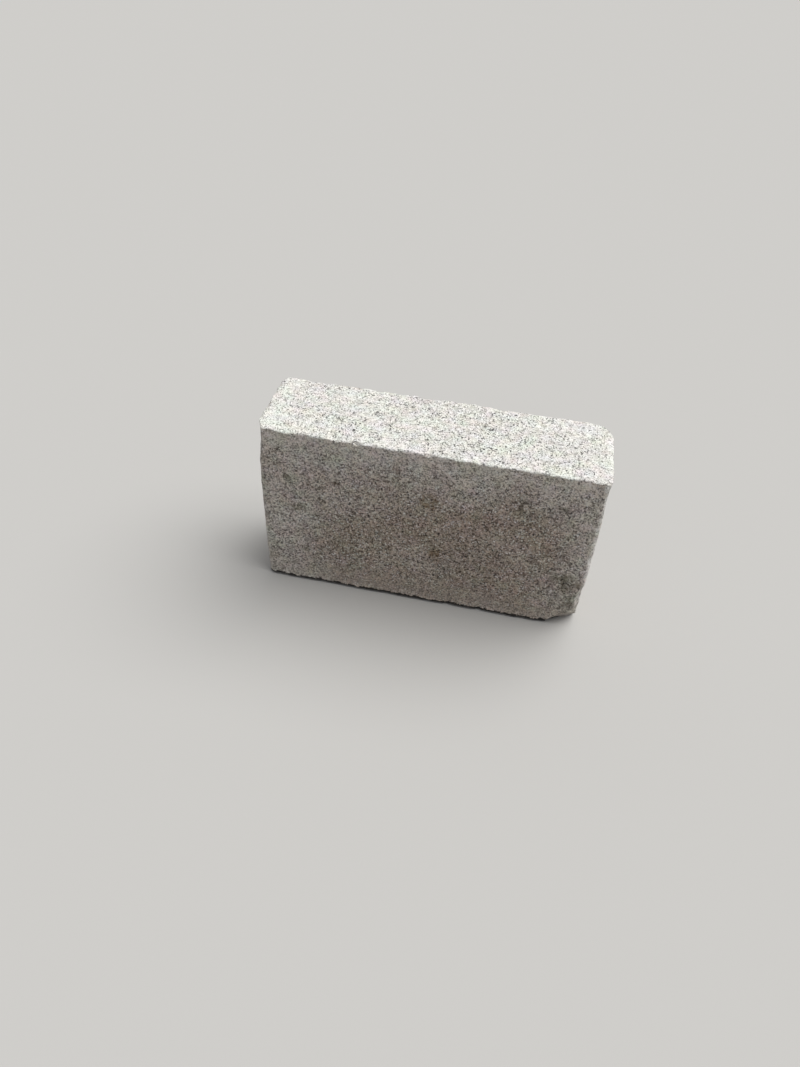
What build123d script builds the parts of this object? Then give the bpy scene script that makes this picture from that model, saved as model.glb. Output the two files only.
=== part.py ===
from build123d import *
import os

# Solid dense concrete block, cast in one piece, standing on a long narrow side.
# X runs along the length, Y through the thickness and Z up, in millimetres.
# The origin is the centre of the underside.
length = 375.0
thickness = 100.0
height = 225.0

# Radii of the four upright corners, as the mould and handling left them.
front_left_radius = 8.0
front_right_radius = 6.0
back_right_radius = 18.0
back_left_radius = 10.0

# Rounding of the arrises that run round the upper and the lower face.
upper_arris_radius = 2.0
lower_arris_radius = 2.5

# Corner broken off the foot at the front right: how far the break reaches
# along the length, through the thickness and up the corner.
break_along = 36.0
break_across = 24.0
break_up = 26.0


def plan_outline():
    """The block seen from above: a rectangle with its own radius at each corner."""
    outline = Rectangle(length, thickness)
    corners = [
        (-1, -1, front_left_radius),
        (1, -1, front_right_radius),
        (1, 1, back_right_radius),
        (-1, 1, back_left_radius),
    ]
    for x_side, y_side, radius in corners:
        corner = (x_side * length / 2, y_side * thickness / 2, 0)
        outline = fillet(outline.vertices().sort_by_distance(corner)[0], radius)
    return outline


def cast_body():
    """The whole casting, with its upper and lower arrises rounded."""
    body = extrude(plan_outline(), height)
    body = fillet(body.faces().sort_by(Axis.Z)[-1].edges(), upper_arris_radius)
    return fillet(body.faces().sort_by(Axis.Z)[0].edges(), lower_arris_radius)


def break_face():
    """The plane of the broken corner, facing out of the block."""
    corner = Vector(length / 2, -thickness / 2, 0)
    along = corner - Vector(break_along, 0, 0)
    across = corner + Vector(0, break_across, 0)
    up = corner + Vector(0, 0, break_up)
    outward = (across - along).cross(up - along)
    if outward.dot(corner - along) < 0:
        outward = outward * -1
    return Plane(origin=along, x_dir=across - along, z_dir=outward)


def block():
    return split(cast_body(), bisect_by=break_face(), keep=Keep.BOTTOM)


os.makedirs("parts", exist_ok=True)
export_step(block(), "parts/block.step")
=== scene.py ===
import math
from functools import partial
from types import SimpleNamespace
import bpy
import numpy as np
from mathutils import Matrix, Vector, noise
from mathutils.bvhtree import BVHTree


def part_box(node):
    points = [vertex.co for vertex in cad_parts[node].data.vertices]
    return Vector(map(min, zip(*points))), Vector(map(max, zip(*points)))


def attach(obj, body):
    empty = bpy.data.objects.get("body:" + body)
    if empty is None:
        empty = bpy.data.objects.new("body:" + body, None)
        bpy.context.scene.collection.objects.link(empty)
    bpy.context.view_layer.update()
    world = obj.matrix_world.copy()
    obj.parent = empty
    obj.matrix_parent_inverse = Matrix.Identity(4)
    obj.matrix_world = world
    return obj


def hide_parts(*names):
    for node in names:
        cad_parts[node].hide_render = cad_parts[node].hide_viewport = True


metre = 1000  # mm: the block is described in mm, and Blender works in metres

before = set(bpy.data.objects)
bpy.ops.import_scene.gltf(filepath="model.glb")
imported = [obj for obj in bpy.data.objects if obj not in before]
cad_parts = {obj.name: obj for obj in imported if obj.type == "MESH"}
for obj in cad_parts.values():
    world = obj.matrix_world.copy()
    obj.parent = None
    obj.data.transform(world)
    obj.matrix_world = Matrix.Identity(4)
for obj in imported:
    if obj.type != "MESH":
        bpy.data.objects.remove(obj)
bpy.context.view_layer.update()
blockLow, blockHigh = (np.array(corner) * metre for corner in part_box("block"))
blockCentre = (blockLow + blockHigh) / 2
blockHalf = (blockHigh - blockLow) / 2
left, front, foot = blockLow
right, back, top = blockHigh
print("frame loaded")


def linearColour(code):  # an sRGB hex colour as the linear values that the shaders work in
    values = [int(code[start:start + 2], 16) / 255 for start in (1, 3, 5)]
    linear = [value / 12.92 if value <= 0.04045 else ((value + 0.055) / 1.055) ** 2.4 for value in values]
    return (*linear, 1.0)


def addNode(tree, kind, settings=None, inputs=None):  # an input is a node or socket to link, or a value
    node = tree.nodes.new(kind)
    for name, value in (settings or {}).items():
        setattr(node, name, value)
    sockets = {socket.identifier: socket for socket in node.inputs}
    for name, value in (inputs or {}).items():
        if isinstance(value, bpy.types.Node):
            value = next(socket for socket in value.outputs if socket.enabled)
        if isinstance(value, bpy.types.NodeSocket):
            tree.links.new(value, sockets[name])
        else:
            sockets[name].default_value = value
    return node


def perMetre(size):  # texture scale for features that are size mm across
    return metre / size


# Camera: the photo's viewpoint, worked out from the block's straight edges
cameraView = {
    "place": (0.0925, -0.7315, 0.7763),  # metres from the middle of the block's foot
    "heading": 9.89,   # degrees left of straight ahead
    "pitch": 44.12,    # degrees down
    "roll": 3.03,      # degrees, the horizon drops to the right
    "lens": 28.54,     # mm
    "film": 36,        # mm, the picture's long side
    "farthest": 60,    # metres
}


def setCamera(view):
    lens = bpy.data.cameras.new("camera")
    lens.sensor_width = view["film"]
    lens.lens = view["lens"]
    lens.clip_end = view["farthest"]
    camera = bpy.data.objects.new("camera", lens)
    heading = Matrix.Rotation(math.radians(view["heading"]), 4, "Z")
    pitch = Matrix.Rotation(math.radians(90 - view["pitch"]), 4, "X")
    roll = Matrix.Rotation(math.radians(view["roll"]), 4, "Z")
    camera.matrix_world = Matrix.Translation(view["place"]) @ heading @ pitch @ roll
    bpy.context.scene.collection.objects.link(camera)
    bpy.context.scene.camera = camera


setCamera(cameraView)
print("camera set")

# The block's surface: sizes, reaches and depths in mm, and shares of them
blockSizes = {
    "rim": 6,                # band beside each arris with a fine grid
    "rimSpacing": 0.9,
    "spacing": (1.9, 1.75, 2.1),  # grid of the faces along the length, thickness and height
    "bedTilt": (0.35, 0.75),  # how much a surface faces up or down where a bed face starts and is whole
    "bow": 0.4,              # every face bellies in and out by this much
    "bowSize": 130,
    "leftBulge": 1.5,        # the left end bellies out at half height
    "rightBulge": 0.3,       # and the right one a little
    "endSkew": 1.6,          # the ends are out of square by this much, each way
    "lip": 1.5,              # the tamper spread the upper edge by this much
    "lipHeight": 13,
    "footLip": 1.3,          # and the mix squeezed out a little over the pallet
    "footLipHeight": 11,
    "wave": 0.22,            # shallow unevenness that the mould and the tamper leave
    "waveSize": 24,
    "grit": 0.36,            # sand and fine stone just under the cement skin
    "gritSize": 5.2,
    "mouldGrit": 0.5,        # share of it on the mould faces
    "voidDepth": 1.4,        # open voids between the grains
    "voidSize": 6.5,
    "voidFrom": 0.42,        # the higher, the fewer voids
    "mouldVoid": 0.7,        # share of that depth on the mould faces, and on the bed faces
    "bedVoid": 1.2,
    "holeSide": 1.5,         # a single hole slopes up to the face over this many times its radius
    "wander": 1.7,           # the arrises wander in and out, each face's own way
    "wanderSize": 17,
    "wanderBand": 9,         # in a band this wide beside each arris, and this deep from each face
    "faceBand": 4,
    "footWander": 0.35,      # share of it that is left at the foot, which the pallet kept straight
    "footWanderHeight": 16,
    "wear": 0.4,             # width of the worn arrises, measured in from the sharp corner
    "wearRange": 1.8,        # how much that width wanders
    "wearLeast": -0.5,       # and how far it goes down, as a share of that range
    "wearSize": 19,
    "nibble": 1.3,           # grains lost from the arrises
    "nibbleSize": 4.5,
    "nibbleFrom": 0.1,       # the higher, the fewer lost
    "clean": 0.75,           # share of the wander, grit, voids and nibbles that the clean stretches lack
    "lump": 0.5,             # unevenness of the broken surfaces
    "lumpSize": 6,
    "breakBlend": 2.0,       # band beside the broken foot corner where its rough surface starts
    "breakRough": 1.5,       # lumps of stone on that corner
    "breakRoughSize": 11,
    "undercut": 2.0,         # the underside is rough, and its rim stands clear of the floor
    "undercutHeight": 4,
    "undercutBand": 10,
    "freshDepth": 1.2,       # a piece knocked off this deep shows the broken colour in full
    "voidShade": 0.66,        # how dark the painted shade is in the voids and in the single holes of the upper face
    "holeShade": 1.3,
    "holeReach": 1.4,        # of those holes' radius
    "stainStray": 9,         # how far the stains stray from round
    "stainStraySize": 13,
    "middleTintStart": 8,          # the darker middle starts this far below the upper edge, and deepens over
    "middleTintOver": (140, 110, 68),  # these heights at the left end, a little left of the middle and right of it
    "middleTintAlong": (-1, -0.1, 0.3),
    "middleTintLeft": 120,         # it also deepens over these lengths from the left and right upright arrises
    "middleTintRight": 70,
    "middleTintSway": 0.4,         # and comes and goes in patches
    "middleTintSize": 50,
    "closedRim": 7,          # the skin is closed beside each arris, as far in as this
    "closedRimShare": 0.8,   # by this share, more in some places and less in others
    "closedRimSway": 0.5,
    "closedRimSize": 14,
    "closedTop": 34,         # and down the mould faces from the upper edge, as far as this
    "closedTopShare": 0.8,
    "litRimReach": 7.5,      # painted light down the front right upright arris, this far from its sharp corner
    "litRimShare": 0.75,     # and as much as this, also more and less in places
    "litRimSway": 0.5,
    "litRimSize": 16,
    "footShadowTurn": 14,          # the painted shadow along the foot thins out over this length behind the front face,
    "footShadowThin": 0.55,        # by this share, more in some places and less in others
    "footShadowThinSway": 0.9,
    "footShadowThinSize": 24,
}

# Pieces knocked off: where, which way the missing piece faced, half its width and its depth
chips = [
    {"at": (-78, front, top), "facing": (0, -1, 1), "reach": 9, "depth": 2.6},
    {"at": (-59, front, top), "facing": (0, -1, 1), "reach": 5, "depth": 1.6},
    {"at": (-1, front, top), "facing": (0, -1, 1), "reach": 7, "depth": 1.9},
    {"at": (108, front, top), "facing": (0, -1, 1), "reach": 5, "depth": 1.4},
    {"at": (177, front, top), "facing": (0, -1, 1), "reach": 4, "depth": 2.0},
    {"at": (right, front, top + 1), "facing": (0.6, -0.8, 0.9), "reach": 8, "depth": 3.4},
    {"at": (left, front, top), "facing": (-1, -0.7, 0.7), "reach": 9, "depth": 4.6},
    {"at": (left, front, top - 11), "facing": (-1, -0.4, 0), "reach": 40, "depth": 4.8},
    {"at": (right, front, top - 25), "facing": (1, -0.14, 0), "reach": 17, "depth": 0.9},
    {"at": (right, back, top - 3), "facing": (0.92, 0.38, 0.15), "reach": 34, "depth": 8.4},
    {"at": (-140, back, top), "facing": (0, 1, 1), "reach": 12, "depth": 2.2},
    {"at": (left + 0.5, back - 4, top), "facing": (-1, 0.6, 0.8), "reach": 10, "depth": 3.0},
    {"at": (64, back, top), "facing": (0, 1, 1), "reach": 8, "depth": 1.6},
    {"at": (36, front, foot + 2.5), "facing": (0, -1, 0.2), "reach": 3.2, "depth": 1.0},
    {"at": (74, front, foot + 2.5), "facing": (0, -1, 0.2), "reach": 3.6, "depth": 1.1},
    {"at": (150, front, foot + 3.5), "facing": (0, -1, 0.2), "reach": 4, "depth": 1.3},
    {"at": (-122, front, foot), "facing": (0, -1, -1), "reach": 7, "depth": 1.6},
    {"at": (right - 0.5, front, 114), "facing": (1, -1, 0), "reach": 13, "depth": 2.0},
    {"at": (right, front + 1, 49), "facing": (1, -0.4, 0), "reach": 20, "depth": 4.6},
    {"at": (left + 0.5, back, 72), "facing": (-1, 1, 0), "reach": 12, "depth": 3.4},
    {"at": (95, back, foot), "facing": (0, 1, -1), "reach": 11, "depth": 2.8},
    {"at": (-60, back, foot), "facing": (0, 1, -1), "reach": 9, "depth": 2.0},
    {"at": (right - 0.5, 10, foot), "facing": (1, 0, -1), "reach": 10, "depth": 2.4},
    {"at": (170, front, foot + 14), "facing": (0.44, -0.66, -0.61), "reach": 19, "depth": 3.6},
    {"at": (right - 1, front, foot + 27), "facing": (1, -0.4, -0.3), "reach": 17, "depth": 6.0},
]

# Stretches of the upper arris that came out of the mould clean and stayed so
cleanPlaces = [
    {"at": (right, 15, top), "reach": 75},
    {"at": (115, back, top), "reach": 60, "strength": 0.8},
]

# Single holes that stand out on the upper face: place, half the width, depth
topHoles = [
    {"at": (50, 15, top), "radius": 2.2, "depth": 2.4},
    {"at": (56.5, 9.3, top), "radius": 1.8, "depth": 2.0},
    {"at": (-132, -2, top), "radius": 1.7, "depth": 1.8},
]


def noiseAt(points, size, seed, octaves=2):  # one value for each point, about -1 to 1
    shift = Vector((seed * 31.7, seed * 11.3, seed * 23.9))  # each seed reads the noise somewhere else
    fall, finer = 1.0, 2.0  # each octave is half as strong and half as large as the last
    return np.array([noise.fractal(Vector(point) / size + shift, fall, finer, octaves) for point in points])


def fade(distance, reach):  # 1 at no distance, falling smoothly to 0 at the reach
    nearness = np.clip(1 - distance / reach, 0, 1)
    return nearness * nearness * (3 - 2 * nearness)


def distanceTo(points, place):
    return np.linalg.norm(points - np.array(place), axis=1)


def spots(points, places):  # soft round patches, each of its own strength
    patches = [place.get("strength", 1) * fade(distanceTo(points, place["at"]), place["reach"])
               for place in places]
    return np.max(patches, axis=0)


def gridLine(low, high, spacing, rim, rimSpacing):  # places along one edge, close together at both ends
    ends = np.linspace(0, rim, round(rim / rimSpacing) + 1)[:-1]
    middle = np.linspace(low + rim, high - rim, round((high - low - 2 * rim) / spacing) + 1)
    return np.concatenate([low + ends, middle, high - ends[::-1]])


def boxGrid(lines):  # the six faces of a box as one closed grid of quads
    sheets, quads, count = [], [], 0
    for axis in range(3):
        first, second = [other for other in range(3) if other != axis]
        across, up = np.meshgrid(lines[first], lines[second], indexing="ij")
        for side in (0, -1):
            sheet = np.empty((*across.shape, 3))
            sheet[..., axis] = lines[axis][side]
            sheet[..., first] = across
            sheet[..., second] = up
            order = np.arange(count, count + across.size).reshape(across.shape)
            quad = np.stack([order[:-1, :-1], order[1:, :-1], order[1:, 1:], order[:-1, 1:]], axis=-1)
            facesOut = (side == -1) == (axis != 1)
            quads.append(quad.reshape(-1, 4) if facesOut else quad.reshape(-1, 4)[:, ::-1])
            sheets.append(sheet.reshape(-1, 3))
            count += across.size
    points, places = np.unique(np.round(np.concatenate(sheets), 3), axis=0, return_inverse=True)
    return points, places.reshape(-1)[np.concatenate(quads)]


def griddedCopy(source, sizes):  # an even grid laid over the CAD block, close on its roundings
    lines = [gridLine(low, high, spacing, sizes["rim"], sizes["rimSpacing"])
             for low, high, spacing in zip(blockLow, blockHigh, sizes["spacing"])]
    points, quads = boxGrid(lines)
    surface = BVHTree.FromObject(source, bpy.context.evaluated_depsgraph_get())
    laid = [surface.find_nearest(Vector(point) / metre)[0] for point in points]
    mesh = bpy.data.meshes.new("castBlock")
    mesh.from_pydata(laid, [], quads.tolist())
    mesh.update()
    return mesh


def brokenFace(mesh, slant=0.3):  # the largest face that leans away from all three directions of the block
    leaning = [face for face in mesh.polygons if min(abs(part) for part in face.normal) > slant]
    largest = max(leaning, key=lambda face: face.area)
    return np.array(largest.center) * metre, np.array(largest.normal)


def readMesh(mesh):
    points = np.empty(len(mesh.vertices) * 3)
    mesh.vertices.foreach_get("co", points)
    normals = np.empty(len(mesh.vertices) * 3)
    mesh.vertices.foreach_get("normal", normals)
    return points.reshape(-1, 3) * metre, normals.reshape(-1, 3)


def measure(mesh, sizes, breakPoint, breakNormal):  # where each point of the grid lies on the block
    points, normals = readMesh(mesh)
    offset = points - blockCentre
    fromFaces = blockHalf - np.abs(offset)
    broken = fade(-(points - breakPoint) @ breakNormal, sizes["breakBlend"])
    tiltLow, tiltHigh = sizes["bedTilt"]
    bed = np.clip((np.abs(normals[:, 2]) - tiltLow) / (tiltHigh - tiltLow), 0, 1) * (1 - broken)
    return SimpleNamespace(
        points=points, normals=normals, sides=np.sign(offset), share=offset / blockHalf,
        fromFaces=fromFaces, nearest=np.argsort(fromFaces, axis=1),
        fromFace=fromFaces.min(axis=1), fromArris=np.sort(fromFaces, axis=1)[:, 1],
        fromTop=top - points[:, 2], fromFoot=points[:, 2] - foot,
        broken=broken, bed=bed, calm=1 - sizes["clean"] * spots(points, cleanPlaces))


def bellyOut(grid, sizes):  # bellied faces, ends out of square, and an upper edge and a foot that stand out
    along, across, up = grid.share.T
    push = sizes["bow"] * noiseAt(grid.points, sizes["bowSize"], seed=1, octaves=1)
    moved = grid.points + grid.normals * push[:, None]
    endBulge = np.where(along > 0, sizes["rightBulge"], sizes["leftBulge"])
    lip = sizes["lip"] * fade(grid.fromTop, sizes["lipHeight"])
    footLip = sizes["footLip"] * fade(grid.fromFoot, sizes["footLipHeight"])
    moved[:, 0] += grid.sides[:, 0] * np.abs(grid.normals[:, 0]) * (endBulge * (1 - up ** 2) + lip)
    moved[:, 0] -= sizes["endSkew"] * across * along * np.abs(along)
    moved[:, 1] += np.clip(grid.normals[:, 1], 0, 1) * lip
    moved[:, 1] += across * np.abs(across) ** 3 * (1 - grid.broken) * footLip
    return moved


def wanderArrises(moved, grid, sizes):  # near an arris each face moves in and out by itself
    beside = fade(grid.fromArris, sizes["wanderBand"]) * grid.calm
    beside *= 1 - (1 - sizes["footWander"]) * fade(grid.fromFoot, sizes["footWanderHeight"])
    for axis in range(3):
        onFace = fade(grid.fromFaces[:, axis], sizes["faceBand"]) * beside
        drift = sizes["wander"] * noiseAt(grid.points, sizes["wanderSize"], seed=10 + axis, octaves=3)
        moved[:, axis] += grid.sides[:, axis] * drift * onFace


def textureFaces(moved, grid, sizes, voids):  # low waves, grit, voids, lumps of stone and the single holes
    gritShare = sizes["mouldGrit"] + (1 - sizes["mouldGrit"]) * grid.bed
    voidShare = sizes["mouldVoid"] + (sizes["bedVoid"] - sizes["mouldVoid"]) * grid.bed
    rough = sizes["breakRough"] * noiseAt(grid.points, sizes["breakRoughSize"], seed=8, octaves=4)
    depth = sizes["wave"] * noiseAt(grid.points, sizes["waveSize"], seed=2)
    depth += sizes["grit"] * noiseAt(grid.points, sizes["gritSize"], seed=3) * gritShare * grid.calm
    depth -= sizes["voidDepth"] * voids * voidShare * grid.calm
    depth += grid.broken * rough
    for hole in topHoles:
        depth -= hole["depth"] * fade(distanceTo(grid.points, hole["at"]), hole["radius"] * sizes["holeSide"])
    moved += grid.normals * depth[:, None]


def wearArrises(moved, grid, sizes):  # to a narrow flat that wanders in width, with grains lost from it
    sway = np.clip(noiseAt(grid.points, sizes["wearSize"], seed=5, octaves=3), sizes["wearLeast"], 1)
    lost = np.clip(noiseAt(grid.points, sizes["nibbleSize"], seed=6) - sizes["nibbleFrom"], 0, 1)
    width = sizes["wear"] + sizes["wearRange"] * sway + sizes["nibble"] * lost * grid.calm
    fromCorner = (grid.fromFace + grid.fromArris) / math.sqrt(2)
    worn = np.clip(width - fromCorner, 0, None) * (1 - grid.broken)
    rows = np.arange(len(moved))
    for place in (0, 1):
        axis = grid.nearest[:, place]
        moved[rows, axis] -= grid.sides[rows, axis] / math.sqrt(2) * worn


def scooped(points, at, facing, reach, depth, lumps):  # how far each point goes in, for a ball-shaped cut
    outward = np.array(facing) / np.linalg.norm(facing)
    radius = (reach ** 2 + depth ** 2) / (2 * depth)
    ballCentre = np.array(at) + outward * (radius - depth)
    inside = np.clip(radius + lumps - distanceTo(points, ballCentre), 0, None)
    return inside[:, None] * -outward, inside


def knockOff(moved, lumps):  # gives back how deep each point was cut
    chipped = np.zeros(len(moved))
    for chip in chips:
        inward, inside = scooped(moved, lumps=lumps, **chip)
        moved += inward
        chipped = np.maximum(chipped, inside)
    return chipped


def liftRim(moved, grid, sizes, lumps):  # the rim of the underside
    under = fade(grid.fromFoot, sizes["undercutHeight"]) * fade(grid.fromArris, sizes["undercutBand"])
    moved[:, 2] += sizes["undercut"] * under * (1 + lumps)
    moved[:, 2] = np.maximum(moved[:, 2], foot)  # it stands on its highest grains


def roughen(mesh, grid, sizes):
    voids = np.clip(noiseAt(grid.points, sizes["voidSize"], seed=4) - sizes["voidFrom"], 0, 1)
    lumps = sizes["lump"] * noiseAt(grid.points, sizes["lumpSize"], seed=7, octaves=3)
    moved = bellyOut(grid, sizes)
    wanderArrises(moved, grid, sizes)
    textureFaces(moved, grid, sizes, voids)
    wearArrises(moved, grid, sizes)
    chipped = knockOff(moved, lumps)
    liftRim(moved, grid, sizes, lumps)
    mesh.vertices.foreach_set("co", (moved / metre).ravel())
    return voids, chipped


# Stains on the front and the upper face: where, how far they spread and how strong they are
brownStains = [
    {"at": (7, front, 158), "reach": 21, "strength": 1.1},
    {"at": (-9, front, 174), "reach": 19, "strength": 0.5},
    {"at": (17, front, 80), "reach": 17, "strength": 1.0},
    {"at": (-104, front, 165), "reach": 13, "strength": 0.45},
    {"at": (-36, front, 200), "reach": 15, "strength": 0.35},
    {"at": (43, front, 140), "reach": 18, "strength": 0.4},
    {"at": (52, 12, top), "reach": 14, "strength": 0.35},
    {"at": (42, -11, top), "reach": 12, "strength": 0.25},
]
greyStains = [
    {"at": (-103, front, 165), "reach": 13, "strength": 0.75},
    {"at": (-34, front, 199), "reach": 15, "strength": 0.55},
    {"at": (9, front, 157), "reach": 16, "strength": 0.55},
    {"at": (103, front, 179), "reach": 14, "strength": 1.4},
    {"at": (140, front, 180), "reach": 19, "strength": 0.65},
    {"at": (115, front, 152), "reach": 17, "strength": 0.6},
    {"at": (-156, front, 164), "reach": 13, "strength": 0.9},
    {"at": (-146, front, 121), "reach": 14, "strength": 0.85},
    {"at": (-117, front, 120), "reach": 15, "strength": 0.5},
    {"at": (-126, front, 203), "reach": 12, "strength": 0.4},
    {"at": (-55, front, 97), "reach": 22, "strength": 0.5},
    {"at": (-140, front, 84), "reach": 20, "strength": 0.45},
    {"at": (30, front, 32), "reach": 18, "strength": 0.45},
    {"at": (146, front, 115), "reach": 30, "strength": 0.5},
    {"at": (168, front, 74), "reach": 34, "strength": 0.85},
    {"at": (166, front, 42), "reach": 32, "strength": 0.9},
    {"at": (62, front, 68), "reach": 95, "strength": 0.42},
]

# Painted light: places where the pale bed skin colour is painted over the arris and down the face
paintedLightSpots = [
    {"at": (right - 0.5, front, top - 5), "reach": 10.5, "strength": 1.4},
]

# Places where the tamper closed the upper face
closedPlaces = [
    {"at": (-182, -34, top), "reach": 46},
    {"at": (-176, 30, top), "reach": 24},
    {"at": (150, 46, top), "reach": 24},
    {"at": (-137, -40, top), "reach": 24, "strength": 0.8},
    {"at": (-45, -42, top), "reach": 26, "strength": 0.9},
    {"at": (168, -42, top), "reach": 22, "strength": 0.8},
    {"at": (166, 42, top), "reach": 24, "strength": 0.8},
    {"at": (184, 16, top), "reach": 22, "strength": 0.75},
    {"at": (186, -14, top), "reach": 20, "strength": 0.7},
    {"at": (-112, 22, top), "reach": 34, "strength": 0.5},
]


def storeMask(mesh, name, values):
    mask = mesh.attributes.new(name, "FLOAT", "POINT")
    mask.data.foreach_set("value", np.clip(values, 0, 1).astype(np.float32))


def hollowShading(grid, voids, sizes):  # painted shade: the bottoms of the voids and of the single holes are darkened
    pits = [sizes["holeShade"] * fade(distanceTo(grid.points, hole["at"]), hole["radius"] * sizes["holeReach"])
            for hole in topHoles]
    return np.maximum(sizes["voidShade"] * voids, np.max(pits, axis=0))


def middleTinting(grid, sizes):  # darker and browner towards the middle and the lower part of each mould face
    along = grid.share[:, 0]
    fromUprights = np.sort(grid.fromFaces[:, :2], axis=1)[:, 1]
    deepens = np.interp(along, sizes["middleTintAlong"], sizes["middleTintOver"])
    damp = 1 - fade(grid.fromTop - sizes["middleTintStart"], deepens)
    damp *= 1 - fade(fromUprights, np.where(along < 0, sizes["middleTintLeft"], sizes["middleTintRight"]))
    return damp + sizes["middleTintSway"] * noiseAt(grid.points, sizes["middleTintSize"], seed=9, octaves=3)


def closedness(grid, sizes):  # where mould and tamper closed the pores
    sway = sizes["closedRimSway"] * noiseAt(grid.points, sizes["closedRimSize"], seed=13)
    rim = fade(grid.fromArris, sizes["closedRim"]) * (sizes["closedRimShare"] + sway)
    belowEdge = sizes["closedTopShare"] * fade(grid.fromTop, sizes["closedTop"]) * (1 - grid.bed)
    return np.max([rim, belowEdge, spots(grid.points, closedPlaces)], axis=0)


def paintedLightMask(grid, sizes):  # painted light at the front right corner and down its upright arris
    fromUpright = np.hypot(grid.points[:, 0] - right, grid.points[:, 1] - front)
    sway = sizes["litRimSway"] * noiseAt(grid.points, sizes["litRimSize"], seed=17)
    litRim = fade(fromUpright, sizes["litRimReach"]) * (sizes["litRimShare"] + sway)
    return np.maximum(spots(grid.points, paintedLightSpots), litRim)


def footShadowing(grid, sizes):  # painted shadow along the foot: whole along the front, patchy on the other sides
    behind = np.clip((grid.points[:, 1] - front) / sizes["footShadowTurn"], 0, 1)
    sway = sizes["footShadowThinSway"] * noiseAt(grid.points, sizes["footShadowThinSize"], seed=18, octaves=3)
    return 1 - behind * (sizes["footShadowThin"] + sway)


def markSkin(mesh, grid, voids, chipped, sizes):
    stray = [sizes["stainStray"] * noiseAt(grid.points, sizes["stainStraySize"], seed=14 + axis)
             for axis in range(3)]
    strayed = grid.points + np.transpose(stray)
    storeMask(mesh, "fresh", np.maximum(grid.broken, chipped / sizes["freshDepth"]))
    # painted shade in the voids and holes
    storeMask(mesh, "hollow", hollowShading(grid, voids, sizes))
    storeMask(mesh, "browned", spots(strayed, brownStains))
    storeMask(mesh, "greyed", spots(strayed, greyStains))
    storeMask(mesh, "damp", middleTinting(grid, sizes))
    storeMask(mesh, "closed", closedness(grid, sizes))
    # painted light on the front right corner and upright arris
    storeMask(mesh, "smeared", paintedLightMask(grid, sizes))
    # painted shadow along the foot
    storeMask(mesh, "soiled", footShadowing(grid, sizes))


def makeBlock(source, sizes):
    mesh = griddedCopy(source, sizes)
    grid = measure(mesh, sizes, *brokenFace(source.data))
    voids, chipped = roughen(mesh, grid, sizes)
    markSkin(mesh, grid, voids, chipped, sizes)
    mesh.update()
    mesh.polygons.foreach_set("use_smooth", [True] * len(mesh.polygons))
    piece = bpy.data.objects.new("castBlock", mesh)
    bpy.context.scene.collection.objects.link(piece)
    return piece


castBlock = makeBlock(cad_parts["block"], blockSizes)
print("block shaped, triangles:", 2 * len(castBlock.data.polygons))

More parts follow.
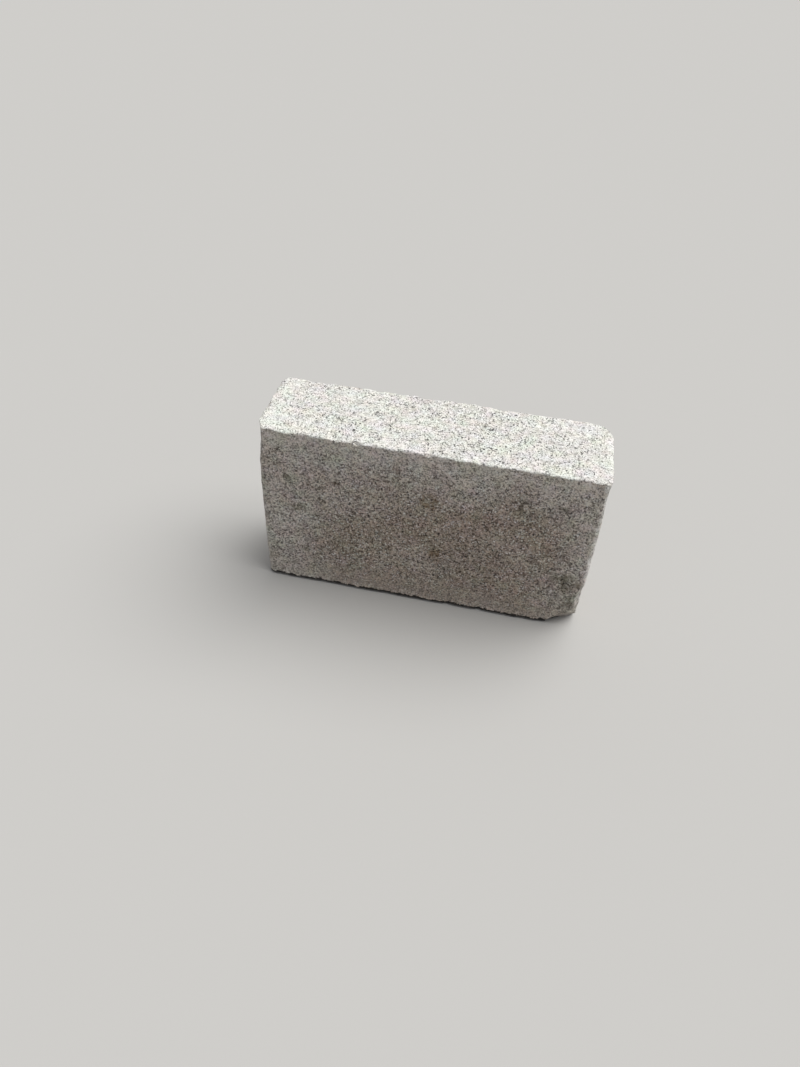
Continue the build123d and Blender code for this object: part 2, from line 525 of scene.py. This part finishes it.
# Dense concrete of sand, stone dust and grey cement, pressed nearly dry in a steel mould and
# stripped at once. The eye sees a matt, open crust of cemented sand: round grains with dark pores
# between them, pale where the tamper closed the bed faces, darker and browner on the mould faces.
concrete = {
    "bedLight": "#FFFDF5",      # cement skin of the bed faces, from its palest sand to its dullest
    "bedDark": "#CAC6BC",
    "mouldLight": "#F7F0E6",    # skin of the mould faces
    "mouldDark": "#776F65",
    "damp": "#DCD1C9",          # tints the middle of the mould faces, multiplied in
    "freshLight": "#E2DDD4",    # newly broken face
    "freshDark": "#928A80",
    "limestone": "#FFFDF8",     # palest and darkest of the bare grains
    "basalt": "#5A5550",
    "bedPoreShade": "#3D3B37",       # painted shade at the bottoms of the pores
    "mouldPoreShade": "#332D28",
    "brownStain": "#CDC0B0",    # these two are multiplied in
    "greyStain": "#B5B2AB",
    "footPaintedLight": "#D9CDBF",        # painted light: paler towards the foot, offsetting the shade near the floor
    "footShadow": "#16120F",          # painted shadow along the lower arris, where the rim meets the floor
    "sandSpacing": 2.4,         # mm, coarser than the real 1 to 2 mm, which would be too fine to show
    "dustSpacing": 1.5,         # coarse stone dust, drawn coarser than real for the same reason
    "stoneSpacing": 7,          # gravel
    "proudSpacing": 6.5,        # between the places where a grain may stand proud
    "pinholeSpacing": 12,       # between the wider holes
    "pitSpacing": 3.7,          # and between the small pits
    "ragSize": 1.4,             # mm, the outlines of all these waver on this scale
    "ragDepth": 1.7,            # mm that they waver sideways
    "gritSize": 3.2,            # mm, clouds of lighter and darker mix, small and large
    "cloudSize": 9,
    "mottleSize": 36,
    "flourSize": 1.1,           # mm, fine dust that roughens the grains themselves
    "hueSize": 15,              # mm, patches where the hue drifts with the mixture of stones
    "hueDrift": 0.16,
    "hueLoss": 0.75,            # share of the drift that is taken off first, to keep the skin as light
    "tone": -1.37,              # grey of the mix, and how much each size of grain and cloud sways it
    "sandTone": 0.6,
    "dustTone": 1.05,
    "flourTone": 0.55,
    "gritTone": 0.6,
    "cloudTone": 0.85,
    "mottleTone": 0.52,
    "closedTone": 0.27,
    "skinDepth": 1.5,           # mm that the bed skin turns down over the arris
    "skinWander": 2.2,          # mm up and down
    "paintedLightEdge": (0.12, 0.3),   # where mask times grit passes these, the painted light starts and is whole
    "stoneShare": 0.3,          # share of the gravel that lies right under the skin
    "stoneSide": (0.52, 0.15),  # a stone rises between these distances from its middle, in spacings
    "stoneBare": 0.5,           # how clearly the gravel shows on broken faces
    "paleDust": 0.17,           # shares of the grains that lie bare, pale or dark
    "paleSand": 0.05,
    "darkDust": 0.07,
    "bareness": 0.95,           # how clearly they show
    "proudShare": 0.16,
    "proudWidth": 3.2,          # mm
    "proudPale": 0.9,           # how pale they are, above this share of their height
    "proudPaleFrom": 0.5,
    "poreFrom": 1.3,            # a pore opens where the nearest grain is this far off, in grains
    "poreTo": 1.62,
    "poreCloud": 0.6,           # the clouds bring the pores together in clusters
    "poreMottle": 0.5,
    "poreClosed": -0.2,         # and the tamper closed some
    "finePoreFrom": 0.84,
    "finePoreTo": 1.24,
    "finePoreGrit": 0.5,
    "pinholeWidth": 3.0,        # mm, of the widest
    "pitWidth": 3.0,
    "holeSide": 0.75,           # mm over which a hole deepens, and its painted shade darkens, from its edge
    "holeLeast": 0.15,          # this share of the places has no hole
    "holeCloud": (0.3, 0.65),   # the holes grow from the first to the second scale as the cloud does
    "holeScale": (0.45, 1.15),
    "deepest": 0.95,            # how dark the painted shade is in the open holes, and in the ones that the tamper closed
    "shallowest": 0.3,
    "stainFrom": -2.4,          # a stain shows where mask, cloud and grit together pass its edge
    "stainMask": 1.1,
    "stainCloud": 2.6,
    "stainGrit": 2.2,
    "stainEdge": (0.15, 1.1),
    "stainSoft": 0.6,           # where the mask is weaker than this, the stain thins out
    "footPaintedLightHeight": 46,         # mm
    "footPaintedLightShare": 0.42,        # how much of the skin it hides at the very foot
    "footShadowHeight": 9.6,          # mm along the front, at the highest
    "footShadowWander": 5.0,          # mm that its upper edge comes down in places
    "footShadowStep": 2.2,            # mm more that it comes down on some of the grains
    "footShadowFade": 1.0,            # mm over which it ends
    "footShadowRise": 6.2,            # mm lower at the most, on the other sides
    "footShadowShare": 0.95,          # how much of the skin it hides
    "crowns": {"sand": -0.9, "dust": -0.6},  # mm that the round grains fall away, a grain's width off
    "bedCrown": 0.6,            # share of that on the bed faces, and over the gravel
    "stoneCrown": 0.5,
    "bumps": {"grit": 0.5, "flour": 1.1, "stone": 0.5, "proud": 2.8, "hole": -0.8},  # mm
    "roughness": 0.9,
    "roughnessSway": 0.08,
    "ior": 1.5,
}


def startMix(tree, look):  # what every part of the concrete draws on: masks, clouds and grains
    add = partial(addNode, tree)
    where = add("ShaderNodeTexCoord").outputs["Object"]
    mask = {name: add("ShaderNodeAttribute", {"attribute_name": name}).outputs["Fac"]
            for name in ("fresh", "hollow", "browned", "greyed", "damp", "closed", "smeared", "soiled")}
    details = {"grit": 3.0, "cloud": 3.0, "mottle": 3.0, "flour": 2.0, "rag": 2.0, "hue": 1.0}  # octaves
    cloud = {name: add("ShaderNodeTexNoise", {},
                       {"Vector": where, "Scale": perMetre(look[name + "Size"]), "Detail": detail})
             for name, detail in details.items()}
    ragged = add("ShaderNodeVectorMath", {"operation": "MULTIPLY_ADD"},
                 {"Vector": cloud["rag"].outputs["Color"], "Vector_001": (look["ragDepth"] / metre,) * 3,
                  "Vector_002": where})
    grain = {name: add("ShaderNodeTexVoronoi", {},
                       {"Vector": ragged, "Scale": perMetre(look[name + "Spacing"])})
             for name in ("sand", "dust", "stone", "proud", "pinhole", "pit")}
    pick = {name: add("ShaderNodeSeparateColor", {}, {"Color": grain[name].outputs["Color"]})
            for name in grain}
    return SimpleNamespace(
        add=add, look=look, mask=mask, cloud=cloud, grain=grain, pick=pick,
        height=add("ShaderNodeSeparateXYZ", {}, {"Vector": where}).outputs["Z"],
        colour={name: linearColour(look[name]) for name in look if str(look[name]).startswith("#")})


def bedArea(mix):  # the bed skin ends in a ragged line just below the upper arris, and just above the lower
    add, look = mix.add, mix.look
    wander = add("ShaderNodeMath", {"operation": "MULTIPLY_ADD"},
                 {"Value": mix.cloud["cloud"], "Value_001": look["skinWander"] / metre,
                  "Value_002": mix.height})
    turnDown = (look["skinDepth"] - look["skinWander"] / 2) / metre
    turnUp = 2 * look["skinDepth"] / metre - turnDown
    above = add("ShaderNodeMath", {"operation": "GREATER_THAN"},
                {"Value": wander, "Value_001": top / metre - turnDown})
    below = add("ShaderNodeMath", {"operation": "LESS_THAN"},
                {"Value": wander, "Value_001": foot / metre + turnUp})
    bed = add("ShaderNodeMath", {"operation": "MAXIMUM"}, {"Value": above, "Value_001": below})
    # painted light on the front right corner and arris, drawn in the bed skin's colour
    litPatch = add("ShaderNodeMath", {"operation": "MULTIPLY"},
                {"Value": mix.mask["smeared"], "Value_001": mix.cloud["grit"]})
    litPatch = add("ShaderNodeMapRange", {"interpolation_type": "SMOOTHSTEP"},
                {"Value": litPatch, "From Min": look["paintedLightEdge"][0], "From Max": look["paintedLightEdge"][1]})
    return add("ShaderNodeMath", {"operation": "MAXIMUM"}, {"Value": bed, "Value_001": litPatch})


def castSkin(mix, bed):  # clouds of every size, and each grain a little lighter or darker than the next
    add, look, colour = mix.add, mix.look, mix.colour
    tone = look["tone"]
    for part, weight in ((mix.pick["sand"], "sandTone"), (mix.pick["dust"], "dustTone"),
                         (mix.cloud["flour"], "flourTone"), (mix.cloud["grit"], "gritTone"),
                         (mix.cloud["cloud"], "cloudTone"), (mix.cloud["mottle"], "mottleTone")):
        tone = add("ShaderNodeMath", {"operation": "MULTIPLY_ADD"},
                   {"Value": part, "Value_001": look[weight], "Value_002": tone})
    tone = add("ShaderNodeMath", {"operation": "MULTIPLY_ADD", "use_clamp": True},
               {"Value": mix.mask["closed"], "Value_001": look["closedTone"], "Value_002": tone})
    bedSkin, mouldSkin, freshSkin = [
        add("ShaderNodeMix", {"data_type": "RGBA"},
            {"Factor_Float": tone, "A_Color": colour[kind + "Dark"], "B_Color": colour[kind + "Light"]})
        for kind in ("bed", "mould", "fresh")]
    mouldSkin = add("ShaderNodeMix", {"data_type": "RGBA", "blend_type": "MULTIPLY"},
                    {"Factor_Float": mix.mask["damp"], "A_Color": mouldSkin, "B_Color": colour["damp"]})
    skin = add("ShaderNodeMix", {"data_type": "RGBA"},
               {"Factor_Float": bed, "A_Color": mouldSkin, "B_Color": bedSkin})
    return add("ShaderNodeMix", {"data_type": "RGBA"},
               {"Factor_Float": mix.mask["fresh"], "A_Color": skin, "B_Color": freshSkin})


def roundStones(mix):  # gravel, some of which lies right under the skin and pushes it up
    add, look = mix.add, mix.look
    side, flat = look["stoneSide"]
    stone = add("ShaderNodeMapRange", {"interpolation_type": "SMOOTHSTEP"},
                {"Value": mix.grain["stone"].outputs["Distance"], "From Min": side, "From Max": flat})
    near = add("ShaderNodeMath", {"operation": "LESS_THAN"},
               {"Value": mix.pick["stone"].outputs["Green"], "Value_001": look["stoneShare"]})
    near = add("ShaderNodeMath", {"operation": "MULTIPLY"}, {"Value": stone, "Value_001": near})
    return stone, near


def proudGrains(mix):  # a few pale grains stand well proud and catch the light from above
    add, look = mix.add, mix.look
    chosen = add("ShaderNodeMath", {"operation": "LESS_THAN"},
                 {"Value": mix.pick["proud"], "Value_001": look["proudShare"]})
    proud = add("ShaderNodeMapRange", {"interpolation_type": "SMOOTHSTEP"},
                {"Value": mix.grain["proud"].outputs["Distance"],
                 "From Min": look["proudWidth"] / 2 / look["proudSpacing"], "From Max": 0.0})
    proud = add("ShaderNodeMath", {"operation": "MULTIPLY"}, {"Value": proud, "Value_001": chosen})
    paleTop = add("ShaderNodeMapRange", {},
                  {"Value": proud, "From Max": look["proudPaleFrom"], "To Max": look["proudPale"]})
    return proud, paleTop


def bareGrains(mix, skin, stone, paleTop):  # some sand lies bare, and broken places show their gravel
    add, look, colour = mix.add, mix.look, mix.colour
    for grain, share, name in ((mix.pick["dust"].outputs["Green"], "paleDust", "limestone"),
                               (mix.pick["sand"].outputs["Green"], "paleSand", "limestone"),
                               (mix.pick["dust"].outputs["Blue"], "darkDust", "basalt")):
        bare = add("ShaderNodeMapRange", {},
                   {"Value": grain, "From Min": 1 - look[share], "To Max": look["bareness"]})
        skin = add("ShaderNodeMix", {"data_type": "RGBA"},
                   {"Factor_Float": bare, "A_Color": skin, "B_Color": colour[name]})
    stoneColour = add("ShaderNodeMix", {"data_type": "RGBA"},
                      {"Factor_Float": mix.pick["stone"], "A_Color": colour["basalt"],
                       "B_Color": colour["limestone"]})
    bare = add("ShaderNodeMath", {"operation": "MULTIPLY"}, {"Value": stone, "Value_001": mix.mask["fresh"]})
    bare = add("ShaderNodeMath", {"operation": "MULTIPLY"}, {"Value": bare, "Value_001": look["stoneBare"]})
    for share, grainColour in ((bare, stoneColour), (paleTop, colour["limestone"])):
        skin = add("ShaderNodeMix", {"data_type": "RGBA"},
                   {"Factor_Float": share, "A_Color": skin, "B_Color": grainColour})
    return skin


def driftHue(mix, skin):  # the mixture of stones varies a little from place to place
    add, look = mix.add, mix.look
    hue = add("ShaderNodeVectorMath", {"operation": "MULTIPLY_ADD"},
              {"Vector": mix.cloud["hue"].outputs["Color"], "Vector_001": (look["hueDrift"],) * 3,
               "Vector_002": (1 - look["hueLoss"] * look["hueDrift"],) * 3})
    return add("ShaderNodeMix", {"data_type": "RGBA", "blend_type": "MULTIPLY"},
               {"Factor_Float": 1.0, "A_Color": skin, "B_Color": hue})


def poresBetweenGrains(mix, near):  # where no grain is near, in clusters
    add, look = mix.add, mix.look
    gap = mix.grain["sand"].outputs["Distance"]
    for part, weight in ((mix.cloud["cloud"], "poreCloud"), (mix.cloud["mottle"], "poreMottle"),
                         (mix.mask["closed"], "poreClosed")):
        gap = add("ShaderNodeMath", {"operation": "MULTIPLY_ADD"},
                  {"Value": part, "Value_001": look[weight], "Value_002": gap})
    fineGap = add("ShaderNodeMath", {"operation": "MULTIPLY_ADD"},
                  {"Value": mix.cloud["grit"], "Value_001": look["finePoreGrit"],
                   "Value_002": mix.grain["dust"].outputs["Distance"]})
    pores = 0.0
    for distance, size in ((gap, "pore"), (fineGap, "finePore")):
        opened = add("ShaderNodeMapRange", {"interpolation_type": "SMOOTHSTEP"},
                     {"Value": distance, "From Min": look[size + "From"], "From Max": look[size + "To"]})
        pores = add("ShaderNodeMath", {"operation": "MAXIMUM"}, {"Value": opened, "Value_001": pores})
    return add("ShaderNodeMath", {"operation": "SUBTRACT", "use_clamp": True},
               {"Value": pores, "Value_001": near})


def roundHoles(mix):  # pits, and a few wider pinholes left by trapped air
    add, look = mix.add, mix.look
    scale = add("ShaderNodeMapRange", {},
                {"Value": mix.cloud["cloud"],
                 "From Min": look["holeCloud"][0], "From Max": look["holeCloud"][1],
                 "To Min": look["holeScale"][0], "To Max": look["holeScale"][1]})
    hole = 0.0
    for name in ("pinhole", "pit"):
        widest = look[name + "Width"] / 2 / look[name + "Spacing"]
        radius = add("ShaderNodeMapRange", {},
                     {"Value": mix.pick[name], "From Min": look["holeLeast"], "To Max": widest})
        radius = add("ShaderNodeMath", {"operation": "MULTIPLY"}, {"Value": radius, "Value_001": scale})
        inHole = add("ShaderNodeMath", {"operation": "SUBTRACT"},
                     {"Value": radius, "Value_001": mix.grain[name].outputs["Distance"]})
        inHole = add("ShaderNodeMapRange", {"interpolation_type": "SMOOTHSTEP"},
                     {"Value": inHole, "From Max": look["holeSide"] / look[name + "Spacing"]})
        hole = add("ShaderNodeMath", {"operation": "MAXIMUM"}, {"Value": inHole, "Value_001": hole})
    return hole


def paintHoleShade(mix, skin, hole, bed):  # painted shade in the pores, voids and holes, less where the tamper closed them
    add, look, colour = mix.add, mix.look, mix.colour
    shade = add("ShaderNodeMapRange", {},
                {"Value": mix.mask["closed"], "To Min": look["deepest"], "To Max": look["shallowest"]})
    darkness = add("ShaderNodeMath", {"operation": "MULTIPLY_ADD"},
                   {"Value": hole, "Value_001": shade, "Value_002": mix.mask["hollow"]})
    poreShade = add("ShaderNodeMix", {"data_type": "RGBA"},
                     {"Factor_Float": bed, "A_Color": colour["mouldPoreShade"], "B_Color": colour["bedPoreShade"]})
    return add("ShaderNodeMix", {"data_type": "RGBA"},
               {"Factor_Float": darkness, "A_Color": skin, "B_Color": poreShade})


def stainSkin(mix, skin):  # ragged stains, where the clouds let them through; the grains still show
    add, look = mix.add, mix.look
    rag = look["stainFrom"]
    for part, weight in ((mix.cloud["cloud"], "stainCloud"), (mix.cloud["grit"], "stainGrit")):
        rag = add("ShaderNodeMath", {"operation": "MULTIPLY_ADD"},
                  {"Value": part, "Value_001": look[weight], "Value_002": rag})
    for mask, name in ((mix.mask["greyed"], "greyStain"), (mix.mask["browned"], "brownStain")):
        stain = add("ShaderNodeMath", {"operation": "MULTIPLY_ADD"},
                    {"Value": mask, "Value_001": look["stainMask"], "Value_002": rag})
        stain = add("ShaderNodeMapRange", {"interpolation_type": "SMOOTHSTEP"},
                    {"Value": stain, "From Min": look["stainEdge"][0], "From Max": look["stainEdge"][1]})
        soft = add("ShaderNodeMapRange", {}, {"Value": mask, "From Max": look["stainSoft"]})
        stain = add("ShaderNodeMath", {"operation": "MULTIPLY"}, {"Value": stain, "Value_001": soft})
        skin = add("ShaderNodeMix", {"data_type": "RGBA", "blend_type": "MULTIPLY"},
                   {"Factor_Float": stain, "A_Color": skin, "B_Color": mix.colour[name]})
    return skin


def paintFootLightAndShadow(mix, skin):  # painted light that grows towards the foot, and painted shadow along the lower arris where the rim meets the floor
    add, look, colour = mix.add, mix.look, mix.colour
    footPaintedLight = add("ShaderNodeMapRange", {},
                 {"Value": mix.height, "From Min": look["footPaintedLightHeight"] / metre, "From Max": 0.0,
                  "To Max": look["footPaintedLightShare"]})
    footShadow = mix.height
    for part, weight in ((mix.cloud["cloud"], look["footShadowWander"]), (mix.pick["sand"], look["footShadowStep"]),
                         (mix.mask["soiled"], -look["footShadowRise"])):
        footShadow = add("ShaderNodeMath", {"operation": "MULTIPLY_ADD"},
                   {"Value": part, "Value_001": weight / metre, "Value_002": footShadow})
    footShadowTop = look["footShadowHeight"] - look["footShadowRise"]
    footShadow = add("ShaderNodeMapRange", {"interpolation_type": "SMOOTHSTEP"},
               {"Value": footShadow, "From Min": footShadowTop / metre, "From Max": (footShadowTop - look["footShadowFade"]) / metre,
                "To Max": look["footShadowShare"]})
    for share, name in ((footPaintedLight, "footPaintedLight"), (footShadow, "footShadow")):
        skin = add("ShaderNodeMix", {"data_type": "RGBA"},
                   {"Factor_Float": share, "A_Color": skin, "B_Color": colour[name]})
    return skin


def fineRelief(mix, bed, near, proud, hole):  # round grains stand out, pores and pinholes go in
    add, look = mix.add, mix.look
    relief = 0.0
    for name, depth in look["crowns"].items():
        crown = add("ShaderNodeMath", {"operation": "POWER"},
                    {"Value": mix.grain[name].outputs["Distance"], "Value_001": 2.0})
        relief = add("ShaderNodeMath", {"operation": "MULTIPLY_ADD"},
                     {"Value": crown, "Value_001": depth, "Value_002": relief})
    for area, share in ((bed, "bedCrown"), (near, "stoneCrown")):
        flatter = add("ShaderNodeMapRange", {}, {"Value": area, "To Min": 1.0, "To Max": look[share]})
        relief = add("ShaderNodeMath", {"operation": "MULTIPLY"}, {"Value": relief, "Value_001": flatter})
    parts = {"grit": mix.cloud["grit"], "flour": mix.cloud["flour"],
             "stone": near, "proud": proud, "hole": hole}
    for name, depth in look["bumps"].items():
        relief = add("ShaderNodeMath", {"operation": "MULTIPLY_ADD"},
                     {"Value": parts[name], "Value_001": depth, "Value_002": relief})
    return add("ShaderNodeBump", {}, {"Height": relief, "Distance": 1 / metre, "Strength": 1.0})


def pressedConcrete(look):
    material = bpy.data.materials.new("pressedConcrete")
    material.use_nodes = True
    material.node_tree.nodes.clear()
    mix = startMix(material.node_tree, look)
    add = mix.add
    bed = bedArea(mix)
    stone, near = roundStones(mix)
    proud, paleTop = proudGrains(mix)
    hole = add("ShaderNodeMath", {"operation": "MAXIMUM"},
               {"Value": roundHoles(mix), "Value_001": poresBetweenGrains(mix, near)})
    hole = add("ShaderNodeMath", {"operation": "SUBTRACT", "use_clamp": True},
               {"Value": hole, "Value_001": paleTop})
    skin = castSkin(mix, bed)
    skin = bareGrains(mix, skin, stone, paleTop)
    skin = driftHue(mix, skin)
    skin = paintHoleShade(mix, skin, hole, bed)
    skin = stainSkin(mix, skin)
    skin = paintFootLightAndShadow(mix, skin)
    dullness = add("ShaderNodeMapRange", {},
                   {"Value": mix.cloud["cloud"], "To Min": look["roughness"] - look["roughnessSway"],
                    "To Max": look["roughness"] + look["roughnessSway"]})
    shader = add("ShaderNodeBsdfPrincipled", {},
                 {"Base Color": skin, "Roughness": dullness, "IOR": look["ior"],
                  "Normal": fineRelief(mix, bed, near, proud, hole)})
    add("ShaderNodeOutputMaterial", {}, {"Surface": shader})
    return material


castBlock.data.materials.append(pressedConcrete(concrete))
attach(castBlock, "root")
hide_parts("block")
print("concrete finished")

# Studio: a pale floor and soft light from above and a little behind, as on an overcast day
studio = {
    "floorSize": 40,             # metres
    "floorSeen": "#BFBDB9",      # what the camera sees
    "floorBounce": "#948F89",    # what lights the underside of things, a dull floor as outdoors
    "sky": "#F2F4F8",
    "skyStrength": 0.42,
    "backdrop": "#E6E5E3",
    "lampStrength": 2.96,        # W per square metre
    "lampSpread": 55,            # degrees across, for soft shadows
    "lampFrom": (0.42, 0.22, 0.88),
}


def floorMaterial(setup):
    material = bpy.data.materials.new("studioFloor")
    material.use_nodes = True
    tree = material.node_tree
    tree.nodes.clear()
    add = partial(addNode, tree)
    rays = add("ShaderNodeLightPath")
    seen = rays.outputs["Is Camera Ray"]
    for kindOfRay in ("Is Glossy Ray", "Is Transmission Ray"):
        seen = add("ShaderNodeMath", {"operation": "MAXIMUM"},
                   {"Value": seen, "Value_001": rays.outputs[kindOfRay]})
    colour = add("ShaderNodeMix", {"data_type": "RGBA"},
                 {"Factor_Float": seen, "A_Color": linearColour(setup["floorBounce"]),
                  "B_Color": linearColour(setup["floorSeen"])})
    shader = add("ShaderNodeBsdfDiffuse", {}, {"Color": colour})
    add("ShaderNodeOutputMaterial", {}, {"Surface": shader})
    return material


def makeFloor(setup):
    half = setup["floorSize"] / 2
    corners = [(-half, -half, 0), (half, -half, 0), (half, half, 0), (-half, half, 0)]
    mesh = bpy.data.meshes.new("floor")
    mesh.from_pydata(corners, [], [(0, 1, 2, 3)])
    mesh.materials.append(floorMaterial(setup))
    floor = bpy.data.objects.new("floor", mesh)
    bpy.context.scene.collection.objects.link(floor)


def makeLamp(setup):
    sun = bpy.data.lights.new("softLamp", "SUN")
    sun.energy = setup["lampStrength"]
    sun.angle = math.radians(setup["lampSpread"])
    lamp = bpy.data.objects.new("softLamp", sun)
    lamp.rotation_mode = "QUATERNION"
    lamp.rotation_quaternion = Vector(setup["lampFrom"]).to_track_quat("Z", "Y")
    bpy.context.scene.collection.objects.link(lamp)


def makeSky(setup):
    world = bpy.data.worlds.new("sky")
    world.use_nodes = True
    tree = world.node_tree
    tree.nodes.clear()
    add = partial(addNode, tree)
    rays = add("ShaderNodeLightPath")
    lit = add("ShaderNodeBackground", {},
              {"Color": linearColour(setup["sky"]), "Strength": setup["skyStrength"]})
    seen = add("ShaderNodeBackground", {}, {"Color": linearColour(setup["backdrop"])})
    either = add("ShaderNodeMixShader", {},
                 {"Fac": rays.outputs["Is Camera Ray"], "Shader": lit, "Shader_001": seen})
    add("ShaderNodeOutputWorld", {}, {"Surface": either})
    bpy.context.scene.world = world


makeFloor(studio)
makeLamp(studio)
makeSky(studio)
bpy.context.scene.view_settings.view_transform = "Standard"
print("studio set")
